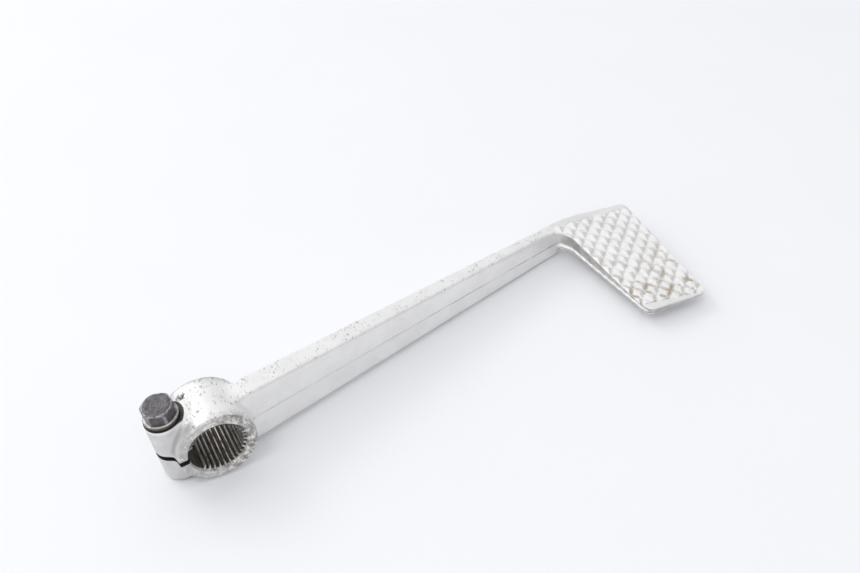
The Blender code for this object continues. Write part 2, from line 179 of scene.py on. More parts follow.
# Camera and stage
VIEW_AIM = Vector((99.1 * MM, 30.2 * MM, 0.0))
VIEW_AZIMUTH = math.radians(27.4)
VIEW_ELEVATION = math.radians(40.6)
VIEW_DISTANCE = 390.5 * MM
VIEW_LENS = 41.86
FLOOR_HALF_SIZE = 3.0
ROOM_BRIGHT_SIDE = (-0.52, 0.40, 0.755)
ROOM_BRIGHT = 1.13
ROOM_DIM = 0.25
ROOM_COLOUR = (0.97, 0.98, 1.0, 1.0)
KEY_LIGHT = {
    "place": (-0.45, 0.85, 0.80),
    "size": (0.5, 0.45),
    "power": 2.2,
    "colour": (1.0, 0.99, 0.97),
}
TOP_LIGHT = {
    "place": (-0.45, -0.25, 0.95),
    "size": (0.4, 0.4),
    "power": 1.3,
    "colour": (1.0, 1.0, 1.0),
}

CLAMP_FRAME = Matrix.Rotation(-CLAMP_LEAN, 4, "Y")
BOLT_FRAME = CLAMP_FRAME @ Matrix.Translation((BOLT_OFFSET, 0.0, 0.0))
ALONG_Y = Matrix.Rotation(math.pi / 2, 4, "X")
RANDOM = np.random.default_rng(7)


# --- Meshes -------------------------------------------------------------------------------


def new_object(name, bm):
    """Turn a bmesh into an object, with its normals facing outwards."""
    bmesh.ops.recalc_face_normals(bm, faces=bm.faces)
    mesh = bpy.data.meshes.new(name)
    bm.to_mesh(mesh)
    bm.free()
    obj = bpy.data.objects.new(name, mesh)
    bpy.context.scene.collection.objects.link(obj)
    return obj


def settle(obj):
    """Apply an object's modifiers to its mesh."""
    evaluated = obj.evaluated_get(bpy.context.evaluated_depsgraph_get())
    mesh = bpy.data.meshes.new_from_object(evaluated)
    obj.modifiers.clear()
    obj.data = mesh


def combine(target, tool, operation):
    """Boolean the tool into the target and throw the tool away."""
    modifier = target.modifiers.new("combine", "BOOLEAN")
    modifier.operation = operation
    modifier.solver = "MANIFOLD"
    modifier.object = tool
    settle(target)
    bpy.data.objects.remove(tool, do_unlink=True)


def skin_rings(bm, rings):
    """Join rings of equal length into a closed tube with flat end caps."""
    loops = [[bm.verts.new(point) for point in ring] for ring in rings]
    for lower, upper in zip(loops, loops[1:]):
        for i in range(len(lower)):
            j = (i + 1) % len(lower)
            bm.faces.new((lower[i], lower[j], upper[j], upper[i]))
    bm.faces.new(reversed(loops[0]))
    bm.faces.new(loops[-1])


def circle_ring(radius, z, segments):
    """Points of a circle about the Z axis."""
    return [
        Vector((radius * math.cos(a), radius * math.sin(a), z))
        for a in (2 * math.pi * i / segments for i in range(segments))
    ]


def turned(name, profile, segments, place=Matrix()):
    """A solid of revolution about Z from (radius, height) pairs, put in its place."""
    bm = bmesh.new()
    skin_rings(bm, [circle_ring(radius, z, segments) for radius, z in profile])
    bm.transform(place)
    return new_object(name, bm)


def rounded_outline(corners, steps=8):
    """An outline through (x, y, radius) corners, each one rounded to its radius."""
    points = []
    for i, (x, y, radius) in enumerate(corners):
        corner = Vector((x, y))
        before = (Vector(corners[i - 1][:2]) - corner).normalized()
        after = (Vector(corners[(i + 1) % len(corners)][:2]) - corner).normalized()
        half_angle = before.angle(after) / 2
        centre = corner + (before + after).normalized() * (radius / math.sin(half_angle))
        start = corner + before * (radius / math.tan(half_angle)) - centre
        turn = start.angle_signed(corner + after * (radius / math.tan(half_angle)) - centre)
        for step in range(steps + 1):
            points.append(centre + Matrix.Rotation(-turn * step / steps, 2) @ start)
    return points


# --- The rough casting --------------------------------------------------------------------


def arm_middle(x):
    """Centre of the arm's section at this x."""
    return Vector((x, ARM_START_Y + x * math.tan(ARM_SWEEP), -x * ARM_DROP))


def arm_half_sizes(x):
    """Half width and half height of the arm at this x."""
    along = x / ARM_END_X
    half_width = (ARM_WIDTH_HUB + (ARM_WIDTH_PAD - ARM_WIDTH_HUB) * along) / 2
    half_height = ARM_HALF_HEIGHT_HUB + (ARM_HALF_HEIGHT_PAD - ARM_HALF_HEIGHT_HUB) * along
    return half_width, half_height


def arm_section(x, shrink=0.0):
    """The arm's outline at this x: a tall rounded bar with a parting ridge on each side."""
    half_width, half_height = (size - shrink for size in arm_half_sizes(x))
    corner = min(1.0 * MM, 0.6 * half_width)
    outline = rounded_outline(
        [
            (half_width, half_height, corner),
            (-half_width, half_height, corner),
            (-half_width, -half_height, corner),
            (half_width, -half_height, corner),
        ],
        steps=3,
    )
    quarter = len(outline) // 4
    outline.insert(4 * quarter, Vector((half_width + ARM_RIDGE, 0.0)))
    outline.insert(2 * quarter, Vector((-half_width - ARM_RIDGE, 0.0)))
    return [arm_middle(x) + Vector((0.0, across, up)) for across, up in outline]


def rough_arm():
    """The arm, from inside the hub to its narrowed far end."""
    bm = bmesh.new()
    rings = [arm_section(8.0 * MM), arm_section(ARM_END_X - 3.0 * MM)]
    rings.append(arm_section(ARM_END_X - 1.0 * MM, shrink=0.5 * MM))
    rings.append(arm_section(ARM_END_X, shrink=1.5 * MM))
    skin_rings(bm, rings)
    return new_object("arm", bm)


def rough_hub():
    """The hub's barrel, its end edges worn round, with stock left for facing."""
    quarter = [
        (HUB_RADIUS - 0.75 * MM, HUB_HALF_LENGTH + TRIM_STOCK),
        (HUB_RADIUS - 0.75 * MM, HUB_HALF_LENGTH),
        (HUB_RADIUS - 0.25 * MM, HUB_HALF_LENGTH - 0.35 * MM),
        (HUB_RADIUS, HUB_HALF_LENGTH - 1.1 * MM),
    ]
    profile = [(radius, -y) for radius, y in quarter] + quarter[::-1]
    return turned("hub", profile, 96, ALONG_Y)


def rough_boss():
    """The two ears as one barrel about the bolt, narrowed at its foot."""
    profile = [
        (5.6 * MM, EAR_BOTTOM),
        (6.25 * MM, EAR_BOTTOM + 0.3 * MM),
        (BOSS_WAIST_RADIUS, EAR_BOTTOM + 1.2 * MM),
        (BOSS_WAIST_RADIUS, 0.0),
        (BOSS_TOP_RADIUS, SEAT_HEIGHT + TRIM_STOCK),
    ]
    return turned("boss", profile, 64, BOLT_FRAME)


def saddle_outline(inset):
    """Side view of the metal between the ears and the hub, in the clamp's frame."""
    start = BOLT_OFFSET + 1.4 * MM
    top = SEAT_HEIGHT + 0.3 * MM - inset
    bottom = EAR_BOTTOM + 1.0 * MM + inset
    return rounded_outline(
        [
            (start, bottom, 1.0 * MM),
            (-2.0 * MM, bottom - 0.6 * MM, 1.0 * MM),
            (2.0 * MM, 0.0, 3.0 * MM),
            (0.0, HUB_RADIUS - 0.6 * MM - inset, 1.0 * MM),
            (-4.6 * MM, top, 3.0 * MM),
            (start, top, 0.5 * MM),
        ],
        steps=4,
    )


def rough_saddle():
    """The metal between the ears and the hub, rounded over along its sides."""
    half, rounding = 5.9 * MM, 2.6 * MM
    sections = []
    for step in range(5):
        angle = math.pi / 2 * step / 4
        side = half - rounding * (1.0 - math.sin(angle))
        sections.append((side, rounding * (1.0 - math.cos(angle))))
    sections = [(-side, inset) for side, inset in sections[::-1]] + sections
    bm = bmesh.new()
    skin_rings(
        bm,
        [[Vector((x, side, z)) for x, z in saddle_outline(inset)] for side, inset in sections],
    )
    bm.transform(CLAMP_FRAME)
    return new_object("saddle", bm)


def rough_lower_jaw():
    """The jaw under the slit, which widens from the ear to the full length of the hub."""
    bm = bmesh.new()
    rings = []
    for x, half_width in LOWER_JAW_PLAN:
        top = -SLIT_WIDTH / 2 + 0.3 * MM
        bottom = EAR_BOTTOM + 0.3 * MM
        outline = rounded_outline(
            [
                (half_width, top, 0.3 * MM),
                (-half_width, top, 0.3 * MM),
                (-half_width + 0.4 * MM, bottom, 2.0 * MM),
                (half_width - 0.4 * MM, bottom, 2.0 * MM),
            ],
            steps=4,
        )
        rings.append([Vector((x, across, up)) for across, up in outline])
    skin_rings(bm, rings)
    bm.transform(CLAMP_FRAME)
    return new_object("lower jaw", bm)


def pad_top(x, y):
    """Height of the pad's top plane."""
    return PAD_TOP_AT_BEND + PAD_TOP_SLOPE_X * (x - BEND_X) + PAD_TOP_SLOPE_Y * (y - BEND_Y)


def pad_corners(inset, hollow=0.0):
    """Corners of the pad's outline, with a tail that fairs the bend into the arm.

    The side towards the hub can be hollowed further than the others.
    """
    tail_x = BEND_X - TAIL_LENGTH
    tail_y = arm_middle(tail_x).y
    left = inset + hollow
    rear = PAD_REAR_Y - inset
    tip = PAD_TIP_Y + inset
    return [
        (PAD_RIGHT_X - inset, rear - PAD_REAR_FALL, PAD_REAR_CORNER - inset),
        (PAD_LEFT_X + PAD_REAR_SHIFT, rear + PAD_REAR_CROWN, PAD_REAR_FAIRING),
        (tail_x, tail_y + TAIL_HALF_WIDTH - inset, TAIL_CORNER),
        (tail_x, tail_y - TAIL_HALF_WIDTH + inset, TAIL_CORNER),
        (BEND_X + left, BEND_Y - BEND_INNER_FALL + left, BEND_CORNER),
        (PAD_LEFT_X - BEND_SIDE_SHIFT + left, BEND_Y - BEND_SIDE_DROP, BEND_FAIRING),
        (PAD_LEFT_TIP_X + left, tip, PAD_TIP_CORNER_LEFT - inset),
        (PAD_RIGHT_X - inset, tip, PAD_TIP_CORNER_RIGHT - inset),
    ]


def rough_pad():
    """The pad without its tread: a low lip, and above it a hollow on the bend's side."""
    full = rounded_outline(pad_corners(0.0))
    small = rounded_outline(pad_corners(PAD_BOTTOM_INSET))
    undercut = rounded_outline(pad_corners(0.15 * MM, PAD_UNDERCUT))
    top = rounded_outline(pad_corners(0.05 * MM))
    lip = PAD_PARTING_Z + PAD_LIP_HEIGHT
    bm = bmesh.new()
    skin_rings(
        bm,
        [
            [Vector((x, y, PAD_BOTTOM_Z)) for x, y in small],
            [Vector((x, y, PAD_PARTING_Z)) for x, y in full],
            [Vector((x, y, lip)) for x, y in full],
            [Vector((x, y, lip + PAD_LIP_SLOPE)) for x, y in undercut],
            [Vector((x, y, pad_top(x, y))) for x, y in top],
        ],
    )
    return new_object("pad", bm)


def fuse(name, pieces):
    """Join overlapping solids into one skin of small even faces."""
    bm = bmesh.new()
    for piece in pieces:
        bm.from_mesh(piece.data)
        bpy.data.objects.remove(piece, do_unlink=True)
    mesh = bpy.data.meshes.new(name)
    bm.to_mesh(mesh)
    bm.free()
    obj = bpy.data.objects.new(name, mesh)
    bpy.context.scene.collection.objects.link(obj)
    remesh = obj.modifiers.new("fuse", "REMESH")
    remesh.mode = "VOXEL"
    remesh.voxel_size = VOXEL
    settle(obj)
    return obj


def relax(mesh, weight, rounds):
    """Move every vertex towards the mean of its neighbours, by its weight, several times."""
    count = len(mesh.vertices)
    points = np.empty(count * 3)
    mesh.vertices.foreach_get("co", points)
    points = points.reshape(-1, 3)
    ends = np.empty(len(mesh.edges) * 2, dtype=np.int64)
    mesh.edges.foreach_get("vertices", ends)
    first, second = ends[0::2], ends[1::2]
    share = 1.0 / np.maximum(np.bincount(ends, minlength=count), 1)
    amount = weight(points)
    for _ in range(rounds):
        mean = np.empty_like(points)
        for axis in range(3):
            total = np.bincount(first, points[second, axis], count)
            total += np.bincount(second, points[first, axis], count)
            mean[:, axis] = total * share
        points += (mean - points) * amount[:, None]
    mesh.vertices.foreach_set("co", points.ravel())
    mesh.update()


def even_weight(points):
    """One weight for every vertex."""
    return np.full(len(points), 0.5)


def junction_weight(points):
    """High where the arm and the ears run into the hub, and where the arm ends in the pad."""
    x, y, z = points.T
    from_axis = np.hypot(x, z)
    near_hub = np.clip(1.0 - np.abs(from_axis - HUB_RADIUS - 0.8 * MM) / (3.0 * MM), 0.0, 1.0)
    arm_side = (x > 0) & (np.abs(y) < HUB_HALF_LENGTH - 1.0 * MM)
    pad_end = Vector((ARM_END_X, arm_middle(ARM_END_X).y + 2.0 * MM, -10.0 * MM))
    from_pad_end = np.linalg.norm(points - np.array(pad_end), axis=1)
    near_pad = np.clip(2.0 - from_pad_end / (4.0 * MM), 0.0, 1.0) * (z < -4.0 * MM)
    ear_side = (x < 0) & (np.abs(y) > 3.0 * MM) & (np.abs(y) < HUB_HALF_LENGTH - 0.6 * MM)
    return 0.5 * np.maximum(near_hub * (arm_side | ear_side), near_pad)


def make_casting():
    """Every rough solid in one skin, with fillets where they meet."""
    casting = fuse(
        "lever_casting",
        [
            rough_hub(),
            rough_boss(),
            rough_saddle(),
            rough_lower_jaw(),
            rough_arm(),
            rough_pad(),
        ],
    )
    relax(casting.data, junction_weight, BLEND_ROUNDS)
    relax(casting.data, even_weight, RELAX_ROUNDS)
    return casting


# --- Machining ----------------------------------------------------------------------------


def trim_hub_ends(casting):
    """Face both ends of the hub flat."""
    for side in (-1, 1):
        near = HUB_HALF_LENGTH
        profile = [(HUB_RADIUS + 1.0 * MM, near), (HUB_RADIUS + 1.0 * MM, near + 4.0 * MM)]
        place = Matrix.Rotation(-side * math.pi / 2, 4, "X")
        combine(casting, turned("facing", profile, 64, place), "DIFFERENCE")


def cut_bore(casting):
    """The serrated bore, flared at each mouth, with the teeth next to the slit worn away."""
    star, mouth = [], []
    for tooth in range(SPLINE_TEETH):
        for share, is_crest in ((-0.30, False), (0.22, False), (0.36, True), (0.54, True)):
            angle = 2 * math.pi * (tooth + share) / SPLINE_TEETH
            gone = MISSING_TEETH[0] < angle % (2 * math.pi) < MISSING_TEETH[1]
            radius = SPLINE_CREST_RADIUS if is_crest and not gone else SPLINE_ROOT_RADIUS
            ray = Vector((math.cos(angle), math.sin(angle), 0.0))
            star.append(ray * radius)
            mouth.append(ray * MOUTH_RADIUS)
    outer = Vector((0.0, 0.0, HUB_HALF_LENGTH + 0.1 * MM))
    inner = Vector((0.0, 0.0, HUB_HALF_LENGTH - MOUTH_DEPTH))
    bm = bmesh.new()
    skin_rings(
        bm,
        [
            [point - outer for point in mouth],
            [point - inner for point in star],
            [point + inner for point in star],
            [point + outer for point in mouth],
        ],
    )
    bm.transform(ALONG_Y)
    combine(casting, new_object("bore", bm), "DIFFERENCE")


def cut_slit(casting):
    """The slit that lets the clamp close."""
    reach = -BOLT_OFFSET + BOSS_WAIST_RADIUS + 2.0 * MM
    bm = bmesh.new()
    bmesh.ops.create_cube(bm, size=1.0)
    bmesh.ops.scale(bm, verts=bm.verts, vec=(reach, 2 * HUB_HALF_LENGTH + 4.0 * MM, SLIT_WIDTH))
    bmesh.ops.translate(bm, verts=bm.verts, vec=(-reach / 2, 0.0, 0.0))
    bm.transform(CLAMP_FRAME)
    combine(casting, new_object("slit", bm), "DIFFERENCE")


def cut_bolt_hole(casting):
    """The bolt's hole, close round the thread in the lower ear and looser in the upper one."""
    clearance = BOLT_RADIUS + SHANK_CLEARANCE
    thread = BOLT_RADIUS + THREAD_CLEARANCE
    profile = [
        (thread, EAR_BOTTOM - 2.0 * MM),
        (thread, 0.0),
        (clearance, 0.0),
        (clearance, SEAT_HEIGHT + 4.0 * MM),
    ]
    combine(casting, turned("bolt hole", profile, 48, BOLT_FRAME), "DIFFERENCE")


def cut_nick(casting):
    """A blow has left a small crater in the metal behind the washer."""
    profile = [(0.3 * MM, -1.1 * MM), (1.1 * MM, -0.5 * MM), (2.1 * MM, 1.5 * MM)]
    lean = Matrix.Rotation(math.radians(-24), 4, "Y") @ Matrix.Rotation(math.radians(18), 4, "X")
    place = Matrix.Translation(NICK) @ lean
    combine(casting, turned("nick", profile, 7, place), "DIFFERENCE")


def cut_parting_grooves(casting):
    """A fine crease along each side of the arm where the halves of the mould met."""
    for side in (-1, 1):
        bm = bmesh.new()
        rings = []
        for x in (PARTING_START_X, PARTING_END_X):
            middle = arm_middle(x)
            reach = arm_half_sizes(x)[0] + ARM_RIDGE
            ring = []
            for out, up in ((-0.30, 0.0), (0.9, -0.55), (0.9, 0.28)):
                ring.append(middle + Vector((0.0, side * (reach + out * MM), up * MM)))
            rings.append(ring)
        skin_rings(bm, rings)
        combine(casting, new_object("groove", bm), "DIFFERENCE")


def cut_spotface(casting):
    """The flat seat of the washer."""
    profile = [(SPOTFACE_RADIUS, SEAT_HEIGHT), (SPOTFACE_RADIUS, SEAT_HEIGHT + 6.0 * MM)]
    combine(casting, turned("spotface", profile, 96, BOLT_FRAME), "DIFFERENCE")


def tread_area(depth, rise, grow, rear_slope=0.0, run_out=0.0):
    """A prism over the treaded area; its ends can slant inwards below the top plane."""
    left = BEND_X - TREAD_MARGIN
    right = PAD_RIGHT_X + TREAD_MARGIN

    def outline(share):
        rear = TREAD_REAR_Y + grow + rear_slope * share
        tip_left = TREAD_TIP_Y_LEFT - grow - run_out * share
        tip_right = TREAD_TIP_Y_RIGHT - grow - run_out * share
        return [(left, rear), (left, tip_left), (right, tip_right), (right, rear)]

    bm = bmesh.new()
    skin_rings(
        bm,
        [
            [Vector((x, y, pad_top(x, y) - depth)) for x, y in outline(0.0)],
            [Vector((x, y, pad_top(x, y))) for x, y in outline(1.0)],
            [Vector((x, y, pad_top(x, y) + rise)) for x, y in outline(1.0)],
        ],
    )
    return new_object("tread area", bm)


def tread_edge():
    """A prism that slopes the pyramids down where they meet the edge of the pad."""
    bm = bmesh.new()
    skin_rings(
        bm,
        [
            [
                Vector((x, y, pad_top(x, y) + rise))
                for x, y in rounded_outline(pad_corners(inset))
            ]
            for rise, inset in (
                (-3.0 * MM, 0.35 * MM),
                (-TREAD_DEPTH, 0.35 * MM),
                (0.0, 1.15 * MM),
                (1.0 * MM, 1.8 * MM),
            )
        ],
    )
    return new_object("tread edge", bm)


def make_pyramids():
    """Every pyramid of the tread, each slightly different, as one mesh."""
    rows = [
        Vector((math.cos(angle), math.sin(angle))) * pitch
        for pitch, angle in zip(TREAD_PITCH, TREAD_ANGLES)
    ]
    bm = bmesh.new()
    for i in range(-TREAD_COUNT, TREAD_COUNT + 1):
        for j in range(-TREAD_COUNT, TREAD_COUNT + 1):
            centre = TREAD_CENTRE + i * rows[0] + j * rows[1]
            if not (BEND_X < centre.x < PAD_RIGHT_X + TREAD_MARGIN):
                continue
            if not (PAD_TIP_Y - 1.0 * MM < centre.y < PAD_REAR_Y):
                continue
            tipward = min(1.0, max(0.0, (8.0 * MM - centre.y) / (20.0 * MM)))
            wear = (RANDOM.uniform(0.02, 0.10) + 0.22 * tipward) * MM
            tip = RANDOM.uniform(0.07, 0.11) + 0.10 * tipward
            rings = []
            for size, sink in (
                (TREAD_BASE, TREAD_DEPTH + TREAD_SINK),
                (TREAD_BASE, TREAD_DEPTH),
                (tip, wear),
            ):
                ring = []
                for a, b in ((-1, -1), (1, -1), (1, 1), (-1, 1)):
                    spot = centre + size * a * rows[0] + size * b * rows[1]
                    ring.append(Vector((spot.x, spot.y, pad_top(spot.x, spot.y) - sink)))
                rings.append(ring)
            skin_rings(bm, rings)
    return new_object("pyramids", bm)


def cut_tread(casting):
    """Sink the treaded area and stand the pyramids in it, kept inside the pad's edge."""
    pyramids = make_pyramids()
    combine(pyramids, tread_area(TREAD_TRIM_REACH, TREAD_TRIM_REACH, 0.5 * MM), "INTERSECT")
    combine(pyramids, tread_edge(), "INTERSECT")
    sunk = tread_area(TREAD_DEPTH, TREAD_TRIM_REACH, 0.0, TREAD_REAR_SLOPE, TREAD_RUN_OUT)
    combine(casting, sunk, "DIFFERENCE")
    combine(casting, pyramids, "UNION")


def make_lever():
    """The casting with everything cut into it."""
    casting = make_casting()
    cut_tread(casting)
    trim_hub_ends(casting)
    cut_spotface(casting)
    cut_bore(casting)
    cut_slit(casting)
    cut_bolt_hole(casting)
    cut_nick(casting)
    cut_parting_grooves(casting)
    casting.data.shade_smooth()
    casting.data.set_sharp_from_angle(angle=CASTING_SHARP_ANGLE)
    return casting


# --- Bolt and washer ----------------------------------------------------------------------


def make_thread(bottom, top, fade):
    """The bolt's threaded shank: a helical ridge that runs out towards the head."""
    segments, rings_per_pitch = 40, 8
    step = THREAD_PITCH / rings_per_pitch
    count = int((top - bottom) / step)
    rings = []
    for level in range(count + 1):
        z = bottom + level * step
        depth = THREAD_DEPTH * min(1.0, max(0.0, (top - fade - z) / fade))
        tip = max(0.0, BOLT_TIP_CHAMFER - (z - bottom))
        ring = []
        for i in range(segments):
            turn = i / segments
            phase = (z / THREAD_PITCH - turn) % 1.0
            groove = 1.0 - abs(2.0 * phase - 1.0)
            radius = BOLT_RADIUS - max(tip, depth * min(1.0, 1.25 * groove))
            angle = 2 * math.pi * turn
            ring.append(Vector((radius * math.cos(angle), radius * math.sin(angle), z)))
        rings.append(ring)
    rings.append(circle_ring(BOLT_RADIUS, top + 1.0 * MM, segments))
    bm = bmesh.new()
    skin_rings(bm, rings)
    return new_object("thread", bm)


def make_bolt():
    """The pinch bolt, about its own axis, with the underside of its head at z = 0."""
    corner = HEAD_ACROSS_FLATS / math.sqrt(3)
    height = HEAD_HEIGHT + HEAD_DROP
    bm = bmesh.new()
    skin_rings(bm, [circle_ring(corner, 0.0, 6), circle_ring(corner, height, 6)])
    bevel_edges = [edge for edge in bm.edges if abs(edge.verts[0].co.z - edge.verts[1].co.z) > MM]
    bmesh.ops.bevel(bm, geom=bevel_edges, offset=0.22 * MM, segments=3, affect="EDGES")
    bolt = new_object("pinch_bolt_worn", bm)
    flat = HEAD_ACROSS_FLATS / 2
    crown = [
        (flat * 0.97, 0.0),
        (corner, 0.30 * MM),
        (corner, height - 0.62 * MM),
        (flat * 1.075, height - 0.20 * MM),
        (flat * 1.02, height),
        (flat * 0.66, height),
        (flat * 0.60, height - 0.09 * MM),
        (flat * 0.42, height - 0.14 * MM),
        (flat * 0.12, height - 0.12 * MM),
    ]
    combine(bolt, turned("crown", crown, 96), "INTERSECT")
    combine(bolt, make_thread(HEAD_DROP - BOLT_LENGTH, 0.0, THREAD_FADE), "UNION")
    bolt.data.transform(
        BOLT_FRAME
        @ Matrix.Translation((0.0, 0.0, HEAD_SEAT))
        @ Matrix.Rotation(HEAD_TURN, 4, "Z")
    )
    bolt.data.shade_smooth()
    bolt.data.set_sharp_from_angle(angle=math.radians(38))
    return bolt


def make_washer():
    """A plain stamped washer: rolled over on top, with a burr edge below."""
    bottom = CONTACT_GAP
    top = SEAT_GAP + WASHER_THICKNESS
    profile = [
        (WASHER_HOLE_RADIUS, bottom + 0.1 * MM),
        (WASHER_HOLE_RADIUS, top - 0.25 * MM),
        (WASHER_HOLE_RADIUS + 0.25 * MM, top),
        (WASHER_RADIUS - 0.75 * MM, top),
        (WASHER_RADIUS - 0.38 * MM, top - 0.07 * MM),
        (WASHER_RADIUS - 0.12 * MM, top - 0.26 * MM),
        (WASHER_RADIUS, top - 0.55 * MM),
        (WASHER_RADIUS, bottom + 0.15 * MM),
        (WASHER_RADIUS - 0.12 * MM, bottom),
        (WASHER_HOLE_RADIUS + 0.1 * MM, bottom),
    ]
    bm = bmesh.new()
    rings = [
        [bm.verts.new(point) for point in circle_ring(radius, z, 96)] for radius, z in profile
    ]
    for inner, outer in zip(rings, rings[1:] + rings[:1]):
        for i in range(len(inner)):
            j = (i + 1) % len(inner)
            bm.faces.new((inner[i], inner[j], outer[j], outer[i]))
    washer = new_object("washer_worn", bm)
    washer.data.transform(BOLT_FRAME @ Matrix.Translation((0.0, 0.0, SEAT_HEIGHT)))
    washer.data.shade_smooth()
    washer.data.set_sharp_from_angle(angle=math.radians(50))
    return washer


# --- Materials ----------------------------------------------------------------------------

CLEAN_METAL = (0.90, 0.895, 0.885)
CLOUDED_METAL = (0.84, 0.83, 0.82)
MOTTLED_METAL = (0.93, 0.925, 0.93)
SPECK_BROWN = (0.30, 0.25, 0.21)
SMEAR_BROWN = (0.60, 0.56, 0.54)
PARTING_GRIME = (0.28, 0.25, 0.22)
TREAD_GRIME = (0.50, 0.43, 0.36)
# Painted shade on the pad's sides, standing for the shaded floor they reflect
PAD_SIDE_SHADE_GREY = (0.42, 0.405, 0.39)
# A darker grey painted on the ears
DARKER_EAR_GREY = (0.60, 0.595, 0.59)
# Painted shade in the hollow between the ear and the hub
HOLLOW_SHADE_GREY = (0.30, 0.29, 0.285)
RUBBED_CREST = (0.52, 0.50, 0.475)
SOOT_BLACK = (0.045, 0.040, 0.036)
SOOT_BROWN = (0.15, 0.125, 0.105)
PITTED_RIM = (0.33, 0.31, 0.295)
GRAZED_RIM = (0.88, 0.88, 0.87)
MOUTH_SHADE = (0.10, 0.09, 0.085)
RUBBED_SEAT = (0.50, 0.49, 0.47)
STAINED_SEAT = (0.20, 0.185, 0.165)
# Oil with the washer's shadow painted in, in the ring round it
OIL_AND_SHADOW_RING = (0.06, 0.055, 0.05)
# Painted shade in the slit, the bolt hole and the nick
CREVICE_SHADE_BLACK = (0.045, 0.041, 0.037)


class Finish:
    """A Principled material, with short names for the nodes that feed it."""

    def __init__(self, name, metallic, roughness):
        self.material = bpy.data.materials.new(name)
        self.material.use_nodes = True
        self.tree = self.material.node_tree
        self.shader = self.tree.nodes["Principled BSDF"]
        self.shader.inputs["Metallic"].default_value = metallic
        self.shader.inputs["Roughness"].default_value = roughness
        self.point = self.node("ShaderNodeTexCoord").outputs["Object"]
        self.x, self.y, self.z = self.node("ShaderNodeSeparateXYZ", self.point).outputs

    def node(self, kind, *values, **settings):
        """A node with these settings, its inputs fed in order."""
        node = self.tree.nodes.new(kind)
        for name, value in settings.items():
            setattr(node, name, value)
        for socket, value in zip(node.inputs, values):
            self.feed(socket, value)
        return node

    def feed(self, socket, value):
        if isinstance(value, bpy.types.NodeSocket):
            self.tree.links.new(value, socket)
        elif value is not None:
            socket.default_value = value

    def math(self, operation, *values):
        return self.node("ShaderNodeMath", *values, operation=operation).outputs[0]

    def both(self, *masks):
        """The product of several masks."""
        result = masks[0]
        for mask in masks[1:]:
            result = self.math("MULTIPLY", result, mask)
        return result

    def either(self, *masks):
        """The largest of several masks."""
        result = masks[0]
        for mask in masks[1:]:
            result = self.math("MAXIMUM", result, mask)
        return result

    def ramp(self, value, low, high, start=0.0, end=1.0):
        """A soft step from start to end while the value goes from low to high."""
        if low > high:
            low, high, start, end = high, low, end, start
        node = self.node("ShaderNodeMapRange", value, low, high, start, end)
        node.interpolation_type = "SMOOTHSTEP"
        return node.outputs[0]

    def noise(self, size, detail=3.0, roughness=0.55, stretch=(1.0, 1.0, 1.0), shift=0.0):
        """Blotches about as large as size, drawn out along the axes by stretch."""
        place = self.node("ShaderNodeMapping", self.point)
        place.inputs["Location"].default_value = (shift, shift, shift)
        place.inputs["Scale"].default_value = [1.0 / (size * by) for by in stretch]
        node = self.node("ShaderNodeTexNoise", place.outputs[0])
        node.inputs["Scale"].default_value = 1.0
        node.inputs["Detail"].default_value = detail
        node.inputs["Roughness"].default_value = roughness
        return node.outputs["Fac"]

    def paint(self, base, colour, mask):
        """Lay a colour over what is there, where the mask is high."""
        node = self.node("ShaderNodeMix", data_type="RGBA")
        self.feed(node.inputs["Factor"], mask)
        self.feed(node.inputs[6], base if isinstance(base, bpy.types.NodeSocket) else (*base, 1.0))
        self.feed(
            node.inputs[7], colour if isinstance(colour, bpy.types.NodeSocket) else (*colour, 1.0)
        )
        return node.outputs[2]

    def bump(self, height, distance, under=None):
        """Relief of that many metres; it can lie over a coarser relief."""
        node = self.node("ShaderNodeBump")
        node.inputs["Distance"].default_value = distance
        self.feed(node.inputs["Height"], height)
        if under is not None:
            self.feed(node.inputs["Normal"], under)
        return node.outputs[0]

    def finish(self, colour, roughness, normal):
        self.feed(self.shader.inputs["Base Color"], colour)
        self.feed(self.shader.inputs["Roughness"], roughness)
        self.feed(self.shader.inputs["Normal"], normal)
        return self.material


def bolt_distances(finish):
    """Height along the bolt's axis and distance from it, as sockets."""
    from_foot = finish.node("ShaderNodeVectorMath", finish.point, tuple(BOLT_FOOT))
    from_foot.operation = "SUBTRACT"
    height = finish.node("ShaderNodeVectorMath", from_foot.outputs[0], tuple(BOLT_UP))
    height.operation = "DOT_PRODUCT"
    across = finish.node("ShaderNodeVectorMath", from_foot.outputs[0], tuple(BOLT_UP))
    across.operation = "CROSS_PRODUCT"
    distance = finish.node("ShaderNodeVectorMath", across.outputs[0], operation="LENGTH")
    return height.outputs["Value"], distance.outputs["Value"]


def bore_distance(finish):
    """Distance from the bore's axis, as a socket."""
    x_squared = finish.math("POWER", finish.x, 2.0)
    z_squared = finish.math("POWER", finish.z, 2.0)
    return finish.math("SQRT", finish.math("ADD", x_squared, z_squared))


def pad_depth(finish):
    """Depth below the pad's top plane, as a socket."""
    rise = finish.math("MULTIPLY_ADD", finish.x, PAD_TOP_SLOPE_X, pad_top(0.0, 0.0))
    plane = finish.math("MULTIPLY_ADD", finish.y, PAD_TOP_SLOPE_Y, rise)
    return finish.math("SUBTRACT", plane, finish.z)


def parting_distance(finish):
    """Height above or below the arm's parting line, as a socket."""
    return finish.math("ABSOLUTE", finish.math("MULTIPLY_ADD", finish.x, ARM_DROP, finish.z))


def on_pad_sides(finish):
    """High on the upright sides of the foot pad."""
    normal = finish.node("ShaderNodeNewGeometry").outputs["Normal"]
    up = finish.node("ShaderNodeSeparateXYZ", normal).outputs[2]
    upright = finish.ramp(finish.math("ABSOLUTE", up), 0.55, 0.25)
    return finish.both(upright, finish.ramp(finish.x, 163.0 * MM, 167.0 * MM))


def facing_up(finish):
    """High on faces that look up."""
    normal = finish.node("ShaderNodeNewGeometry").outputs["Normal"]
    up = finish.node("ShaderNodeSeparateXYZ", normal).outputs[2]
    return finish.ramp(up, 0.45, 0.8)


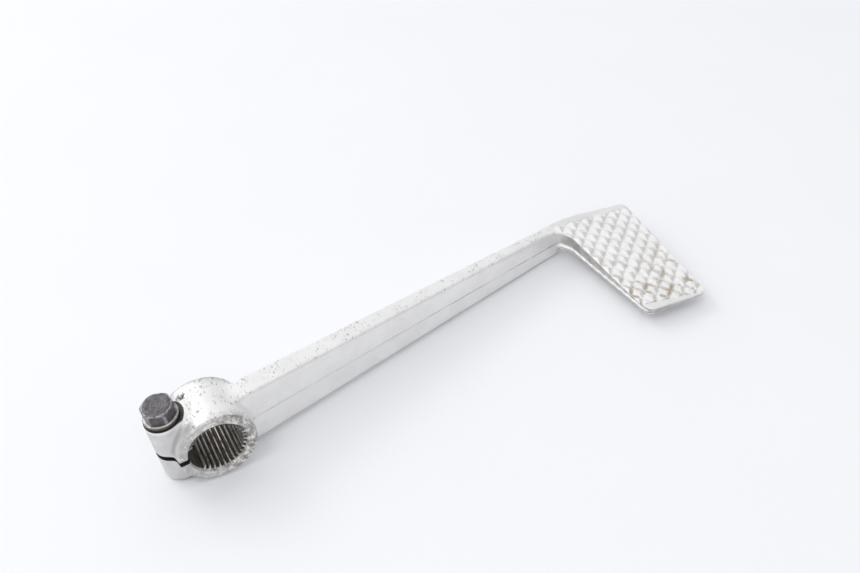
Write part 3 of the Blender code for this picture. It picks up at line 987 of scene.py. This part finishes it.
class LeverFinish(Finish):
    """A finish that knows how far each point is from the bolt, the bore and the pad's top."""

    def __init__(self, name, metallic, roughness):
        super().__init__(name, metallic, roughness)
        self.height, self.from_bolt = bolt_distances(self)
        self.from_bore = bore_distance(self)
        self.depth = pad_depth(self)
        self.upward = facing_up(self)
        self.across = self.math("ABSOLUTE", self.y)


def clean_metal(finish):
    """Tone of the clean metal: pale, with clouds and a finer mottle."""
    clouds = finish.ramp(finish.noise(9.0 * MM, detail=4.0), 0.3, 0.7)
    colour = finish.paint(CLEAN_METAL, CLOUDED_METAL, clouds)
    fine = finish.ramp(finish.noise(0.55 * MM, detail=2.0, shift=3.0), 0.35, 0.65)
    return finish.paint(colour, MOTTLED_METAL, finish.math("MULTIPLY", fine, 0.35))


def brown_specks(finish, colour):
    """Specks and smears in clusters, mostly on top; gives the specks too."""
    specks = finish.ramp(finish.noise(1.25 * MM, 4.0, 0.66, (0.6, 1.3, 1.0), 7.0), 0.56, 0.635)
    clusters = finish.ramp(finish.noise(6.0 * MM, 3.0, 0.6, shift=1.3), 0.40, 0.58)
    on_hub = finish.ramp(finish.x, 20.0 * MM, 12.0 * MM)
    off_pad = finish.ramp(finish.x, 166.0 * MM, 158.0 * MM, 0.2, 1.0)
    strewn = finish.both(off_pad, finish.ramp(on_hub, 0.0, 1.0, 0.75, 1.0))
    strewn = finish.either(finish.both(finish.upward, strewn), 0.10)
    dirt = finish.both(specks, clusters, strewn)
    colour = finish.paint(colour, SPECK_BROWN, finish.math("MULTIPLY", dirt, 0.8))
    smear = finish.ramp(finish.noise(3.2 * MM, 4.0, 0.65, (0.5, 1.0, 1.0), 13.0), 0.52, 0.70)
    smear = finish.both(smear, clusters, finish.upward, off_pad)
    colour = finish.paint(colour, SMEAR_BROWN, finish.math("MULTIPLY", smear, 0.45))
    return colour, dirt


def parting_grime(finish, colour):
    """Grime along the parting line, heavier towards the bend."""
    on_arm = finish.both(
        finish.ramp(finish.x, 13.5 * MM, 15.0 * MM), finish.ramp(finish.x, 168.0 * MM, 160.0 * MM)
    )
    line = finish.ramp(parting_distance(finish), 0.34 * MM, 0.08 * MM)
    patchy = finish.ramp(finish.noise(5.0 * MM, 4.0, 0.65, (3.0, 1.0, 1.0), 2.0), 0.38, 0.62)
    heavy = finish.ramp(finish.x, 60.0 * MM, 150.0 * MM, 0.35, 0.85)
    return finish.paint(colour, PARTING_GRIME, finish.both(on_arm, line, patchy, heavy))


def tread_grime(finish, colour):
    """Grime between the pyramids, heavier towards the tip."""
    on_pad = finish.both(
        finish.ramp(finish.x, 165.0 * MM, 167.0 * MM), finish.ramp(finish.depth, 2.4 * MM, 1.5 * MM)
    )
    valley = finish.ramp(finish.depth, 0.45 * MM, 1.05 * MM)
    stain = finish.ramp(finish.noise(6.0 * MM, 3.0, 0.6, shift=5.0), 0.42, 0.62)
    tip_ward = finish.ramp(finish.y, 26.0 * MM, -8.0 * MM, 0.25, 1.0)
    dirty = finish.both(on_pad, finish.upward, valley, stain, tip_ward)
    return finish.paint(colour, TREAD_GRIME, dirty)


def shaded_pad_sides(finish, colour):
    """Painted shade on the upright sides of the pad, in patches: it stands for the shaded floor
    that those sides reflect.
    """
    side_shade_patches = finish.ramp(finish.noise(4.0 * MM, 4.0, 0.6, shift=11.0), 0.3, 0.7, 0.6, 1.0)
    return finish.paint(colour, PAD_SIDE_SHADE_GREY, finish.both(on_pad_sides(finish), side_shade_patches))


def darker_ears(finish, colour):
    """The ears are painted a darker grey than the rest."""
    darker_ear = finish.both(
        finish.ramp(finish.x, -3.0 * MM, -8.0 * MM),
        finish.ramp(finish.height, 13.0 * MM, 11.5 * MM),
        finish.ramp(finish.noise(5.0 * MM, 3.0, 0.6, shift=17.0), 0.25, 0.7, 0.7, 1.0),
    )
    return finish.paint(colour, DARKER_EAR_GREY, darker_ear)


def hollow_shade(finish, colour):
    """Painted shade in the hollow between the ear and the hub."""
    hollow = finish.both(
        finish.ramp(finish.from_bolt, 8.6 * MM, 6.9 * MM),
        finish.ramp(finish.from_bore, 15.4 * MM, 13.9 * MM),
        finish.ramp(finish.across, 4.6 * MM, 6.0 * MM),
        finish.ramp(finish.height, 1.0 * MM, 4.0 * MM),
    )
    return finish.paint(colour, HOLLOW_SHADE_GREY, finish.math("MULTIPLY", hollow, 0.8))


def sooty_bore(finish, colour):
    """The bore: black in the roots, rubbed on the crests; gives the soot too."""
    in_bore = finish.ramp(finish.from_bore, MOUTH_RADIUS + 0.05 * MM, MOUTH_RADIUS - 0.3 * MM)
    at_end = finish.ramp(finish.across, 9.2 * MM, 9.6 * MM)
    inside = finish.math("SUBTRACT", 1.0, at_end)
    low = SPLINE_CREST_RADIUS + 0.35 * MM
    root = finish.ramp(finish.from_bore, low, SPLINE_ROOT_RADIUS - 0.1 * MM)
    root = finish.math("MULTIPLY", root, inside)
    patches = finish.noise(1.6 * MM, 4.0, 0.65, (1.0, 2.5, 1.0), 4.0)
    colour = finish.paint(colour, RUBBED_CREST, finish.both(in_bore, inside))
    soot = finish.math("MAXIMUM", root, finish.ramp(patches, 0.50, 0.62, 0.0, 0.8))
    brown = finish.paint(SOOT_BLACK, SOOT_BROWN, finish.ramp(patches, 0.3, 0.7))
    colour = finish.paint(colour, brown, finish.both(in_bore, soot))
    return colour, finish.both(in_bore, soot)


def worn_rim(finish, colour):
    """The worn rim round the mouth, shaded under its top; gives the pits too."""
    at_end = finish.ramp(finish.across, 9.2 * MM, 9.6 * MM)
    right_side = finish.ramp(finish.x, -9.0 * MM, 7.0 * MM, 0.35, 1.0)
    near_end = finish.both(
        finish.ramp(finish.across, 6.5 * MM, 10.0 * MM),
        right_side,
        finish.ramp(finish.from_bore, 16.0 * MM, 14.5 * MM),
    )
    rim = finish.either(
        finish.both(at_end, finish.ramp(finish.from_bore, 14.6 * MM, 13.6 * MM)),
        finish.both(near_end, finish.ramp(finish.z, -6.0 * MM, 2.0 * MM, 0.0, 0.6)),
    )
    pitted = finish.ramp(finish.noise(2.6 * MM, 5.0, 0.66, shift=9.0), 0.30, 0.62)
    colour = finish.paint(colour, PITTED_RIM, finish.both(rim, pitted, right_side))
    grazed = finish.ramp(finish.noise(2.2 * MM, 4.0, 0.66, shift=12.0), 0.57, 0.66)
    colour = finish.paint(colour, GRAZED_RIM, finish.both(at_end, rim, grazed))

    arch = finish.both(
        at_end,
        finish.ramp(finish.from_bore, MOUTH_RADIUS + 0.1 * MM, MOUTH_RADIUS - 0.1 * MM),
        finish.ramp(finish.z, 3.0 * MM, 7.0 * MM),
    )
    colour = finish.paint(colour, MOUTH_SHADE, finish.math("MULTIPLY", arch, 0.9))
    return colour, finish.both(rim, pitted)


def washer_seat(finish, colour):
    """Rubbed and stained where the washer covers it; oil and a painted shadow in the ring round it.
    """
    near_seat = finish.ramp(finish.height, SEAT_HEIGHT - 0.5 * MM, SEAT_HEIGHT - 0.05 * MM)
    ring = finish.ramp(finish.from_bolt, SPOTFACE_RADIUS + 0.25 * MM, SPOTFACE_RADIUS - 0.15 * MM)
    under = finish.ramp(finish.height, SEAT_HEIGHT + 2.0 * MM, SEAT_HEIGHT + 1.0 * MM)
    seat = finish.both(near_seat, ring, under)
    turning = finish.ramp(finish.noise(1.1 * MM, 4.0, 0.65, shift=19.0), 0.34, 0.66)
    seat_colours = finish.paint(RUBBED_SEAT, STAINED_SEAT, turning)
    uncovered = finish.ramp(finish.from_bolt, WASHER_RADIUS - 0.9 * MM, WASHER_RADIUS - 0.3 * MM)
    # Oil and a painted shadow round the washer's edge
    seat_colours = finish.paint(seat_colours, OIL_AND_SHADOW_RING, uncovered)
    return finish.paint(colour, seat_colours, seat)


def shaded_crevices(finish, colour):
    """Painted shade on the walls of the slit, the bolt hole and the nick."""
    in_hole = finish.ramp(finish.from_bolt, BOLT_RADIUS + 0.6 * MM, BOLT_RADIUS + 0.4 * MM)
    off_middle = finish.math("ABSOLUTE", finish.height)
    in_slit = finish.both(
        finish.ramp(off_middle, SLIT_WIDTH / 2 + 0.12 * MM, SLIT_WIDTH / 2),
        finish.ramp(finish.x, -8.0 * MM, -9.0 * MM),
    )
    nick = finish.node("ShaderNodeVectorMath", finish.point, tuple(NICK), operation="DISTANCE")
    in_nick = finish.both(
        finish.ramp(nick.outputs["Value"], 2.2 * MM, 1.4 * MM),
        finish.ramp(finish.noise(1.3 * MM, 3.0, shift=15.0), 0.62, 0.50),
    )
    # Painted shade on these walls
    crevice_shade = finish.either(in_hole, in_slit, finish.math("MULTIPLY", in_nick, 0.85))
    return finish.paint(colour, CREVICE_SHADE_BLACK, crevice_shade)


def cast_aluminium():
    """Satin cast alloy, handled and dirty: specks, scuffs, grime in the bore and the tread; painted
    shade in the hollow by the ear, in the crevices, on the pad's sides and round the washer.
    """
    finish = LeverFinish("cast_aluminium", 0.65, 0.45)
    colour = clean_metal(finish)
    colour, dirt = brown_specks(finish, colour)
    colour = parting_grime(finish, colour)
    colour = tread_grime(finish, colour)
    colour = shaded_pad_sides(finish, colour)
    colour = darker_ears(finish, colour)
    colour = hollow_shade(finish, colour)
    colour, soot = sooty_bore(finish, colour)
    colour, pits = worn_rim(finish, colour)
    colour = washer_seat(finish, colour)
    colour = shaded_crevices(finish, colour)

    dull = finish.either(soot, dirt, pits)
    roughness = finish.math("MULTIPLY_ADD", finish.noise(1.3 * MM, 5.0, 0.7, shift=6.0), 0.22, 0.32)
    roughness = finish.math("MULTIPLY_ADD", dull, 0.28, roughness)

    grain = finish.noise(0.45 * MM, 5.0, 0.7, shift=8.0)
    normal = finish.bump(finish.noise(4.5 * MM, 2.0, 0.5, shift=2.5), 0.10 * MM)
    normal = finish.bump(grain, 0.035 * MM, normal)
    normal = finish.bump(finish.math("MULTIPLY", dirt, -1.0), 0.05 * MM, normal)
    return finish.finish(colour, roughness, normal)


def dark_steel():
    """The bolt: dark plating rubbed through at the corners, rust-brown in places."""
    finish = Finish("dark_steel", 0.85, 0.5)
    height, from_axis = bolt_distances(finish)
    top = HEAD_SEAT + HEAD_HEIGHT + HEAD_DROP
    clouds = finish.ramp(finish.noise(1.6 * MM, 4.0, 0.6), 0.35, 0.68)
    colour = finish.paint((0.095, 0.092, 0.10), (0.15, 0.143, 0.152), clouds)
    rings = finish.math("SINE", finish.math("MULTIPLY", from_axis, 2 * math.pi / (0.95 * MM)))
    on_top = finish.ramp(height, top - 0.35 * MM, top - 0.2 * MM)
    turned_marks = finish.both(on_top, finish.ramp(rings, 0.2, 0.9), clouds)
    colour = finish.paint(colour, (0.27, 0.255, 0.25), finish.math("MULTIPLY", turned_marks, 0.5))
    corner = finish.ramp(from_axis, 5.35 * MM, 5.65 * MM)
    crown = finish.both(
        finish.ramp(from_axis, 4.45 * MM, 4.75 * MM),
        finish.ramp(height, top - 0.9 * MM, top - 0.2 * MM),
    )
    rubbed = finish.ramp(finish.noise(1.1 * MM, 4.0, 0.7, shift=3.0), 0.40, 0.58)
    worn = finish.both(finish.either(corner, crown), rubbed)
    colour = finish.paint(colour, (0.42, 0.41, 0.42), finish.math("MULTIPLY", worn, 0.8))
    rust = finish.ramp(finish.noise(0.9 * MM, 5.0, 0.7, shift=5.5), 0.58, 0.68)
    colour = finish.paint(colour, (0.14, 0.085, 0.05), finish.math("MULTIPLY", rust, 0.6))
    roughness = finish.math("MULTIPLY_ADD", finish.noise(0.7 * MM, 5.0, 0.7, shift=1.0), 0.35, 0.30)
    normal = finish.bump(finish.noise(0.35 * MM, 5.0, 0.7, shift=2.0), 0.03 * MM)
    normal = finish.bump(turned_marks, 0.03 * MM, normal)
    return finish.finish(colour, roughness, normal)


def washer_steel():
    """The washer: bright where its rolled edge is rubbed, with a painted highlight there too; its
    side painted dark, for oil and for the shade on it.
    """
    finish = Finish("washer_steel", 0.9, 0.4)
    height, _ = bolt_distances(finish)
    top = SEAT_HEIGHT + SEAT_GAP + WASHER_THICKNESS
    colour = finish.paint(
        (0.30, 0.29, 0.27), (0.42, 0.41, 0.38), finish.ramp(finish.noise(1.4 * MM, 4.0), 0.35, 0.65)
    )
    side = finish.ramp(height, top - 0.30 * MM, top - 0.62 * MM)
    # Painted shade with oil on the washer's side
    colour = finish.paint(colour, (0.085, 0.08, 0.066), side)
    edge = finish.both(
        finish.ramp(height, top - 0.45 * MM, top - 0.2 * MM),
        finish.ramp(height, top - 0.01 * MM, top - 0.06 * MM),
    )
    rubbed = finish.ramp(finish.noise(2.6 * MM, 3.0, 0.6, shift=6.5), 0.46, 0.64, 0.12, 0.9)
    # Rubbed metal with a painted highlight along the rolled edge
    colour = finish.paint(colour, (0.76, 0.75, 0.72), finish.both(edge, rubbed))
    grime = finish.ramp(finish.noise(0.8 * MM, 5.0, 0.7, shift=4.0), 0.56, 0.66)
    colour = finish.paint(colour, (0.11, 0.09, 0.06), finish.math("MULTIPLY", grime, 0.7))
    roughness = finish.math("MULTIPLY_ADD", finish.noise(0.6 * MM, 5.0, 0.7, shift=7.0), 0.35, 0.22)
    normal = finish.bump(finish.noise(0.3 * MM, 4.0, 0.65, shift=2.0), 0.02 * MM)
    return finish.finish(colour, roughness, normal)


def white_paper():
    """Matt paper, faintly clouded."""
    finish = Finish("white_paper", 0.0, 0.7)
    clouds = finish.noise(60.0 * MM, 2.0, 0.5)
    colour = finish.paint((0.90, 0.905, 0.92), (0.88, 0.885, 0.90), clouds)
    normal = finish.bump(finish.noise(1.2 * MM, 3.0, 0.6), 0.02 * MM)
    return finish.finish(colour, 0.7, normal)


# --- Stage --------------------------------------------------------------------------------


def make_floor():
    """The sheet of paper that the lever lies on."""
    bm = bmesh.new()
    bmesh.ops.create_grid(bm, x_segments=1, y_segments=1, size=FLOOR_HALF_SIZE)
    bmesh.ops.translate(bm, verts=bm.verts, vec=(VIEW_AIM.x, VIEW_AIM.y, FLOOR_Z - 0.02 * MM))
    floor = new_object("floor", bm)
    floor.data.materials.append(white_paper())


def make_world():
    """A white room, brighter overhead and behind the lever than towards the viewer."""
    world = bpy.data.worlds.new("white room")
    world.use_nodes = True
    bpy.context.scene.world = world
    tree = world.node_tree
    background = tree.nodes["Background"]
    direction = tree.nodes.new("ShaderNodeTexCoord")
    dot = tree.nodes.new("ShaderNodeVectorMath")
    dot.operation = "DOT_PRODUCT"
    dot.inputs[1].default_value = ROOM_BRIGHT_SIDE
    tree.links.new(direction.outputs["Generated"], dot.inputs[0])
    ramp = tree.nodes.new("ShaderNodeMapRange")
    tree.links.new(dot.outputs["Value"], ramp.inputs["Value"])
    ramp.inputs["From Min"].default_value = -1.0
    ramp.inputs["From Max"].default_value = 1.0
    ramp.inputs["To Min"].default_value = ROOM_DIM
    ramp.inputs["To Max"].default_value = ROOM_BRIGHT
    tree.links.new(ramp.outputs["Result"], background.inputs["Strength"])
    background.inputs["Color"].default_value = ROOM_COLOUR


def make_light(name, place, size, power, colour):
    """A rectangular lamp pointed at the view's aim."""
    light = bpy.data.lights.new(name, "AREA")
    light.shape = "RECTANGLE"
    light.size, light.size_y = size
    light.energy = power
    light.color = colour
    lamp = bpy.data.objects.new(name, light)
    bpy.context.scene.collection.objects.link(lamp)
    lamp.location = place
    lamp.rotation_euler = (VIEW_AIM - Vector(place)).to_track_quat("-Z", "Y").to_euler()


def make_camera():
    """The camera, set back from the aim along the view."""
    camera = bpy.data.objects.new("camera", bpy.data.cameras.new("camera"))
    bpy.context.scene.collection.objects.link(camera)
    camera.data.lens = VIEW_LENS
    camera.data.sensor_width = 36.0
    camera.data.clip_start = 0.01
    forward = Vector(
        (
            math.sin(VIEW_AZIMUTH) * math.cos(VIEW_ELEVATION),
            math.cos(VIEW_AZIMUTH) * math.cos(VIEW_ELEVATION),
            -math.sin(VIEW_ELEVATION),
        )
    )
    camera.location = VIEW_AIM - forward * VIEW_DISTANCE
    camera.rotation_euler = forward.to_track_quat("-Z", "Y").to_euler()
    bpy.context.scene.camera = camera


def make_stage():
    """Floor, light from the room, lamps and camera."""
    make_floor()
    make_world()
    make_light("key", **KEY_LIGHT)
    make_light("top", **TOP_LIGHT)
    make_camera()
    bpy.context.scene.view_settings.view_transform = "Standard"


# --- Put together -------------------------------------------------------------------------

for make, material, body, slot in (
    (make_lever, cast_aluminium, "lever", "cast_aluminium"),
    (make_washer, washer_steel, "washer", "washer_steel"),
    (make_bolt, dark_steel, "pinch_bolt", "dark_steel"),
):
    piece = make()
    piece.data.materials.clear()
    piece.data.materials.append(material())
    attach(piece, body)
    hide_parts(body)

make_stage()
